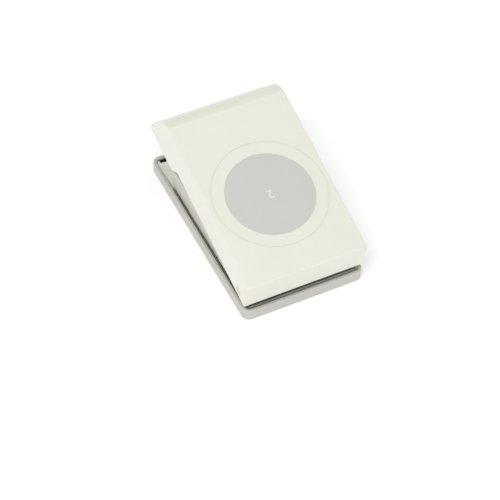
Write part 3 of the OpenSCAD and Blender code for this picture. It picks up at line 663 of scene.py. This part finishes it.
def add_rod(bm, foot, head, foot_r, head_r, sides=64):
    """Adds a round bar or cone between two points."""
    foot, head = on_axis(foot), on_axis(head)
    made = bmesh.ops.create_cone(bm, cap_ends=True, segments=sides, radius1=foot_r * MM, radius2=head_r * MM,
                                 depth=(head - foot).length)["verts"]
    turn_to = Vector((0, 0, 1)).rotation_difference(head - foot).to_matrix()
    bmesh.ops.rotate(bm, cent=(0, 0, 0), matrix=turn_to, verts=made)
    bmesh.ops.translate(bm, vec=(foot + head) / 2, verts=made)


inside = []
for x in (-RIB_X, RIB_X):
    for profile in (long_rib, near_rib):
        inside.append(alone(add_plate, x - RIB_T / 2, x + RIB_T / 2, profile))
for y in CROSS_RIBS:
    inside.append(alone(add_block, (-LEVER_HALF, y - RIB_T / 2, RIB_Z), (LEVER_HALF, y + RIB_T / 2, TOP_Z)))
for side in (-1, 1):
    y = side * (PRESS_R + RIB_T / 2 + PRESS_GAP)
    inside.append(alone(add_block, (-PRESS_HALF, y - RIB_T / 2, ROOF_Z - HOLDER_H),
                        (PRESS_HALF, y + RIB_T / 2, TOP_Z)))
    inside.append(alone(add_block, (side * HOOK_X - BOSS_HALF, BOSS_FRONT, BOSS_Z),
                        (side * HOOK_X + BOSS_HALF, TAIL_Y, TOP_Z)))
    x0, x1 = sorted((side * PIN_BOSS_X, side * LEVER_HALF))
    inside.append(alone(add_rod, (x0, pivot_mm.y, pivot_mm.z), (x1, pivot_mm.y, pivot_mm.z),
                        PIN_BOSS_R, PIN_BOSS_R))
print("ribs and bosses shaped:", len(inside))

# %% Join the ribs and bosses
for bm in inside:
    rib = as_object("rib", bm)
    combine(rib, as_object("rib_trim", lever_form(WALL / 2, TOP_WALL / 2, SKIRT_Z)), "INTERSECT")
    combine(lever, rib, "UNION")
print("ribs and bosses joined, faces:", len(lever.data.polygons))

# %% [markdown]
# The top carries a shallow round recess for the label and a fine ring groove outside it. The groove could be a
# dark line in the material, but a real one catches the light on its far side. So it is turned: a small profile is
# spun about the punch axis into a ring that is cut out of the top. The pin's holes go through both side walls.

# %% Cut the ring, the recess and the pin's holes
LABEL_R, LABEL_T = 25.4, 0.2
RING_R, RING_HALF, RING_FOOT, RING_DEPTH = 32.7, 0.45, 0.28, 0.4
ROUND_STEPS = 160
WELD = 1e-7
ABOVE_TOP = TOP_Z + 0.3
HOLE_OUT, HOLE_R = 40, PIN_R + 0.02


def spun(profile):
    """A closed bmesh turned about the punch axis from a closed profile of radius and height."""
    bm = bmesh.new()
    outline = [bm.verts.new(on_axis((r, 0, z))) for r, z in profile]
    edges = [bm.edges.new((outline[i - 1], outline[i])) for i in range(len(outline))]
    bmesh.ops.spin(bm, geom=outline + edges, cent=on_axis((0, 0, 0)), axis=(0, 0, 1), angle=math.tau,
                   steps=ROUND_STEPS, use_merge=True)
    bmesh.ops.remove_doubles(bm, verts=bm.verts, dist=WELD)
    bmesh.ops.recalc_face_normals(bm, faces=bm.faces)
    return bm


ring_low = TOP_Z - RING_DEPTH
ring = [(RING_R - RING_HALF, ABOVE_TOP), (RING_R - RING_HALF, TOP_Z), (RING_R - RING_FOOT, ring_low),
        (RING_R + RING_FOOT, ring_low), (RING_R + RING_HALF, TOP_Z), (RING_R + RING_HALF, ABOVE_TOP)]
combine(lever, as_object("ring_cut", spun(ring)))
recess = alone(add_rod, (0, 0, TOP_Z - LABEL_T), (0, 0, ABOVE_TOP), LABEL_R, LABEL_R, ROUND_STEPS)
combine(lever, as_object("recess_cut", recess))
pin_holes = alone(add_rod, (-HOLE_OUT, pivot_mm.y, pivot_mm.z), (HOLE_OUT, pivot_mm.y, pivot_mm.z), HOLE_R, HOLE_R)
combine(lever, as_object("pin_cut", pin_holes))
print("ring, recess and holes cut, faces:", len(lever.data.polygons))

# %% [markdown]
# ## Dressing a piece
# A finished piece gets its material, rides on the body that carries it and stands in for its solid. Smooth shading
# alone would blur its edges, and flat shading would show every facet of its bends. So edges steeper than a limit
# stay sharp, the rest is smooth, and weighted normals keep the large faces flat. The lever is turned up first.

# %% Dress the lever
SHARP_FROM = math.radians(32)


def dress(piece, body, slot, material, *nodes):
    """Shades a piece, puts it on its body and hides the solids it stands for."""
    piece.data.materials.clear()
    piece.data.materials.append(material)
    piece.data.shade_smooth()
    piece.data.set_sharp_from_angle(angle=SHARP_FROM)
    weighted = piece.modifiers.new("flat_faces", "WEIGHTED_NORMAL")
    weighted.keep_sharp = True
    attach(piece, body)
    if nodes:
        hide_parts(*nodes)
    print(piece.name, "faces:", len(piece.data.polygons))


lever.data.transform(raise_lever)
dress(lever, "lever", "lever_plastic", cream, "lever_cover")

# %% [markdown]
# ## Label
# A film disc with a softened edge lies in the recess. A plain size numeral stands at its middle, to be read from
# the end that is pressed. It could be a pattern in the film's material, but a text curve has cleaner strokes: it
# is made into a mesh that lies a hair above the film.

# %% Lay the film
FILM_GAP, FILM_BREAK, FILM_SHARP = 0.02, 0.06, math.radians(60)

film_r = LABEL_R - FILM_GAP
disc = alone(add_rod, (0, 0, TOP_Z - LABEL_T), (0, 0, TOP_Z), film_r, film_r, ROUND_STEPS)
disc_edges = [e for e in disc.edges if e.calc_face_angle(0) > FILM_SHARP
              and e.verts[0].co.z > (TOP_Z - TOUCH) * MM]
break_edges(disc, disc_edges, FILM_BREAK, steps=2)
label = as_object("label_disc", disc)
label.data.transform(raise_lever)
dress(label, "lever", "label_film", label_grey, "size_label")

# %% Print the numeral
NUMERAL_H, INK_T = 5.2, 0.015
CAP_SHARE = 0.7

letters = bpy.data.curves.new("numeral", "FONT")
letters.body, letters.align_x, letters.align_y = "2", "CENTER", "CENTER"
letters.size, letters.extrude = NUMERAL_H * MM / CAP_SHARE, INK_T * MM
text = bpy.data.objects.new("numeral", letters)
scene.collection.objects.link(text)
numeral = bpy.data.objects.new("label_numeral", finished_mesh(text))
bpy.data.objects.remove(text)
scene.collection.objects.link(numeral)
numeral.data.transform(Matrix.Translation(on_axis((0, 0, TOP_Z))) @ Matrix.Rotation(math.pi, 4, "Z"))
numeral.data.transform(raise_lever)
dress(numeral, "lever", "label_film", label_white)

# %% [markdown]
# ## Tray
# The tray is a shallow moulding with round corners, a softened rim and a rounded foot. A cube gets its corners by
# a bevel, an inset of its top leaves the rim, and the floor inside is pushed down. Cutting the inside out of a
# block would do as well, but the inset keeps the rim even round the corners. The rear rim is a little wider than
# the others. Bevels on the rim and the foot come last, because they follow the finished outline.

# %% Mould the tray
BASE_HALF, TRAY_NEAR, TRAY_FAR, TRAY_H = 36.5, -50.0, 74.5, 7.6
RIM, REAR_RIM, SEAT_Z = 2.0, 2.3, 5.0
TRAY_CORNER_R, FOOT_R, RIM_R = 4.5, 0.8, 0.6

bm = alone(add_block, (-BASE_HALF, TRAY_NEAR, 0), (BASE_HALF, TRAY_FAR, TRAY_H))
upright = [e for e in bm.edges if abs(e.verts[0].co.z - e.verts[1].co.z) > MM]
break_edges(bm, upright, TRAY_CORNER_R, steps=12)
lid = max(bm.faces, key=lambda f: f.calc_center_median().z)
bmesh.ops.inset_region(bm, faces=[lid], thickness=RIM * MM, use_even_offset=True)
for corner in lid.verts:
    if corner.co.y > on_axis((0, TRAY_FAR - RIM - TRAY_CORNER_R, 0)).y:
        corner.co.y -= (REAR_RIM - RIM) * MM
grown = bmesh.ops.extrude_face_region(bm, geom=[lid])
floor_verts = [g for g in grown["geom"] if isinstance(g, bmesh.types.BMVert)]
bmesh.ops.translate(bm, vec=(0, 0, (SEAT_Z - TRAY_H) * MM), verts=floor_verts)
bmesh.ops.delete(bm, geom=[f for f in bm.faces if f == lid], context="FACES")
print("tray body, faces:", len(bm.faces))

# %% Soften the rim and the foot
STEEP = math.radians(60)

rim_edges = [e for e in bm.edges if e.is_valid and e.calc_face_angle(0) > STEEP
             and all(v.co.z > (TRAY_H - TOUCH) * MM for v in e.verts)]
break_edges(bm, rim_edges, RIM_R, steps=4)
foot_edges = [e for e in bm.edges if e.calc_face_angle(0) > STEEP
              and all(v.co.z < TOUCH * MM for v in e.verts)]
break_edges(bm, foot_edges, FOOT_R, steps=3)
bmesh.ops.recalc_face_normals(bm, faces=bm.faces)
tray = as_object("tray_moulding", bm)
print("softened tray, faces:", len(tray.data.polygons))

# %% [markdown]
# The tray is then cut from below and from above: the round outlet under the die, which widens downwards, the
# counterbores of the screws, shallow seats for the rivets' heads, and the pockets of the lock. Tools of one kind
# share a bmesh, so that each kind is a single cut.

# %% Measures of the cuts in the tray
SCREWS = [(x, y) for x in (-30.2, 30.2) for y in (-43.7, 36.9)]
SCREWS += [(x, y) for x in (-24.9, 24.9) for y in (54.6, 62.1)]
RIVETS = [(k * 13.5, 44.15) for k in (-1.5, -0.5, 0.5, 1.5)]
THROUGH = 0.1
OUTLET_FOOT_R, OUTLET_HEAD_R, OUTLET_SIDES = 29.09, 27.21, 128
SCREW_BORE_R, SCREW_BORE_Z, RIVET_BORE_R, RIVET_BORE_Z, BORE_SIDES = 2.9, 2.0, 3.1, 3.7, 40
INSIDE_REAR, POCKET_HALF, POCKET_FRONT, POCKET_Z = 72.2, 34.2, 66.8, 3.15
PIT_IN, PIT_OUT, PIT_FRONT, PIT_Z = 17.95, 32.3, 69.7, 1.4
TAB_HALF, TAB_LOW, TAB_HIGH, TAB_BACK = 6.9, 3.0, 5.0, 0.5
print("screws:", len(SCREWS), "rivets:", len(RIVETS))

# %% Cut the outlet, the bores and the lock's pockets
above_seat = SEAT_Z + THROUGH
outlet = alone(add_rod, (0, 0, -THROUGH), (0, 0, above_seat), OUTLET_FOOT_R, OUTLET_HEAD_R, OUTLET_SIDES)
combine(tray, as_object("outlet_cut", outlet))
bores = bmesh.new()
for x, y in SCREWS:
    add_rod(bores, (x, y, -THROUGH), (x, y, SCREW_BORE_Z), SCREW_BORE_R, SCREW_BORE_R, BORE_SIDES)
for x, y in RIVETS:
    add_rod(bores, (x, y, RIVET_BORE_Z), (x, y, above_seat), RIVET_BORE_R, RIVET_BORE_R, BORE_SIDES)
combine(tray, as_object("bore_cut", bores))
pocket = alone(add_block, (-POCKET_HALF, POCKET_FRONT, POCKET_Z), (POCKET_HALF, INSIDE_REAR, above_seat))
combine(tray, as_object("pocket_cut", pocket))
pits = bmesh.new()
for x0, x1 in ((-PIT_OUT, -PIT_IN), (PIT_IN, PIT_OUT)):
    add_block(pits, (x0, PIT_FRONT, PIT_Z), (x1, INSIDE_REAR, SEAT_Z))
add_block(pits, (-TAB_HALF, INSIDE_REAR - TAB_BACK, TAB_LOW), (TAB_HALF, TRAY_FAR + THROUGH, TAB_HIGH))
combine(tray, as_object("pit_cut", pits))
dress(tray, "base", "tray_plastic", tray_grey, "base_tray")

# %% [markdown]
# ## Springs
# Each return spring is one wire: a dead turn lies flat at either end, where the real spring is ground to stand
# square, and the turns between them are open. A curve with a round bevel could follow the helix. Spinning a small
# circle about the spring's own axis while it rises draws it in three spins, with an exact pitch for each part. The
# springs stand on the base.

# %% Wind the springs
WIRE_R, COIL_R, WIRE_SIDES = 0.35, 3.15, 12
DEAD_RISE, ACTIVE_TURNS, TURN_STEPS = 0.74, 5, 28
stroke = next(j for j in frame["joints"] if j["name"] == "plunger_slide")["range_m"][1]


def wound(low, high):
    """A bmesh of a spring that fills the height of a box."""
    middle = Vector(((low.x + high.x) / 2, (low.y + high.y) / 2, 0))
    bm = bmesh.new()
    start = bmesh.ops.create_circle(bm, cap_ends=True, segments=WIRE_SIDES, radius=WIRE_R * MM)["verts"]
    bmesh.ops.rotate(bm, cent=(0, 0, 0), matrix=Matrix.Rotation(math.pi / 2, 3, "X"), verts=start)
    bmesh.ops.translate(bm, vec=middle + Vector((COIL_R * MM, 0, low.z + WIRE_R * MM)), verts=start)
    open_rise = high.z - low.z - 2 * WIRE_R * MM - 2 * DEAD_RISE * MM
    geom = list(bm.faces)
    for turns, climb in ((1, DEAD_RISE * MM), (ACTIVE_TURNS, open_rise), (1, DEAD_RISE * MM)):
        steps = turns * TURN_STEPS
        geom = bmesh.ops.spin(bm, geom=geom, cent=middle, axis=(0, 0, 1), dvec=(0, 0, climb / steps),
                              angle=math.tau * turns, steps=steps)["geom_last"]
    bmesh.ops.remove_doubles(bm, verts=bm.verts, dist=WELD)
    bmesh.ops.recalc_face_normals(bm, faces=bm.faces)
    return bm


for node in ("spring_near_left", "spring_near_right", "spring_rear_left", "spring_rear_right"):
    low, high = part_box(node)
    spring = as_object(node + "_coil", wound(low, high))
    dress(spring, "base", "spring_wire", spring_steel, node)
    1 - stroke / (high.z - low.z)
    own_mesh(spring)

# %% [markdown]
# ## Steel plates and the lock's slide
# The plates, brackets and the slide already have the right shape, but their edges are as sharp as a drawing. Real
# sheet is tumbled or wiped after stamping, and that thin bright edge is what the eye takes for metal. The plates
# could be modelled again. It is simpler to copy each solid, merge its loose triangles into plain faces and give
# every sharp edge a fine bevel.

# %% Break the edges of the plates
FLAT_WITHIN, SHARP_ABOVE = math.radians(0.5), math.radians(40)
PLATES = [
    ("upper_frame", "base", "frame_steel", folded_steel, 0.18),
    ("die_plate", "base", "tool_steel", ground_steel, 0.15),
    ("stripper_plate", "base", "frame_steel", satin_steel, 0.12),
    ("throat_stop", "base", "frame_steel", satin_steel, 0.12),
    ("plunger_plate", "plunger", "frame_steel", satin_steel, 0.18),
    ("lock_hooks", "lever", "frame_steel", satin_steel, 0.12),
    ("lock_slide", "lock", "lock_plastic", lock_grey, 0.12),
]


def softened(node, width):
    """A bmesh copy of a solid whose sharp edges are broken by a width in millimetres."""
    bm = bmesh.new()
    bm.from_mesh(frame["nodes"][node].data)
    bmesh.ops.remove_doubles(bm, verts=bm.verts, dist=WELD)
    bmesh.ops.dissolve_limit(bm, angle_limit=FLAT_WITHIN, verts=bm.verts, edges=bm.edges)
    sharp = [e for e in bm.edges if e.is_manifold and e.calc_face_angle(0) > SHARP_ABOVE]
    break_edges(bm, sharp, width, steps=2)
    return bm


for node, body, slot, material, width in PLATES:
    dress(as_object(node + "_edged", softened(node, width)), body, slot, material, node)

# %% [markdown]
# ## Remaining solids
# The cutter, the guide, the press bar, the pin and the small fasteners are turned or moulded round parts. They
# could be rebuilt too, but their solids already show them well. So they keep their own mesh, and get the finish of
# the real piece in place of their plain colour.

# %% Give the solids their finishes
FINISH = {"tool_steel": ground_steel, "fastener_steel": zinc, "guide_plastic": acetal}
for row in frame["record"]["subparts"]:
    solid = frame["nodes"][row["node"]]
    if row["material_slot"] in FINISH and not solid.hide_render:
        solid.data.materials.clear()
        solid.data.materials.append(FINISH[row["material_slot"]])
print("finished solids:", [n for n, o in frame["nodes"].items() if not o.hide_render])

# %% [markdown]
# ## Floor
# A wide pale floor takes the soft shadow. It is part of the stage and not of the punch. A white colour alone would
# turn grey beside the bright panels, so the floor glows faintly, as one does that is lit from below. It lies a
# hair below the tray, because two faces in one plane would flicker.

# %% Lay the floor
FLOOR_HALF, FLOOR_DROP = 6, 0.1
FLOOR_SHADE, FLOOR_GLOW = (0.95, 0.95, 0.95), 0.16
FLOOR_SHEEN, HAZE_SHEEN, HAZE_WAVES = 0.75, 0.1, 3.0

bm = bmesh.new()
bmesh.ops.create_grid(bm, x_segments=1, y_segments=1, size=FLOOR_HALF)
bmesh.ops.translate(bm, vec=(0, 0, -FLOOR_DROP * MM), verts=bm.verts)
floor = as_object("floor", bm)
floor_white, shader, place = begin("floor_white")
feed(shader, base_color=FLOOR_SHADE, roughness=FLOOR_SHEEN + HAZE_SHEEN * noise(place, HAZE_WAVES, detail=1.0),
     emission_color=(1.0, 1.0, 1.0), emission_strength=FLOOR_GLOW)
floor.data.materials.append(floor_white)
floor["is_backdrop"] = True
print("floor laid", FLOOR_DROP, "mm below the tray")

# %% [markdown]
# ## Sizes
# The last cell prints the box of the dressed punch. It should be the box of the solids, because dressing a part
# never changes its size.

# %% Print the sizes and finish
low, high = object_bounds()
print("visual box in mm:", [round((h - l) / MM, 1) for l, h in zip(low, high)])
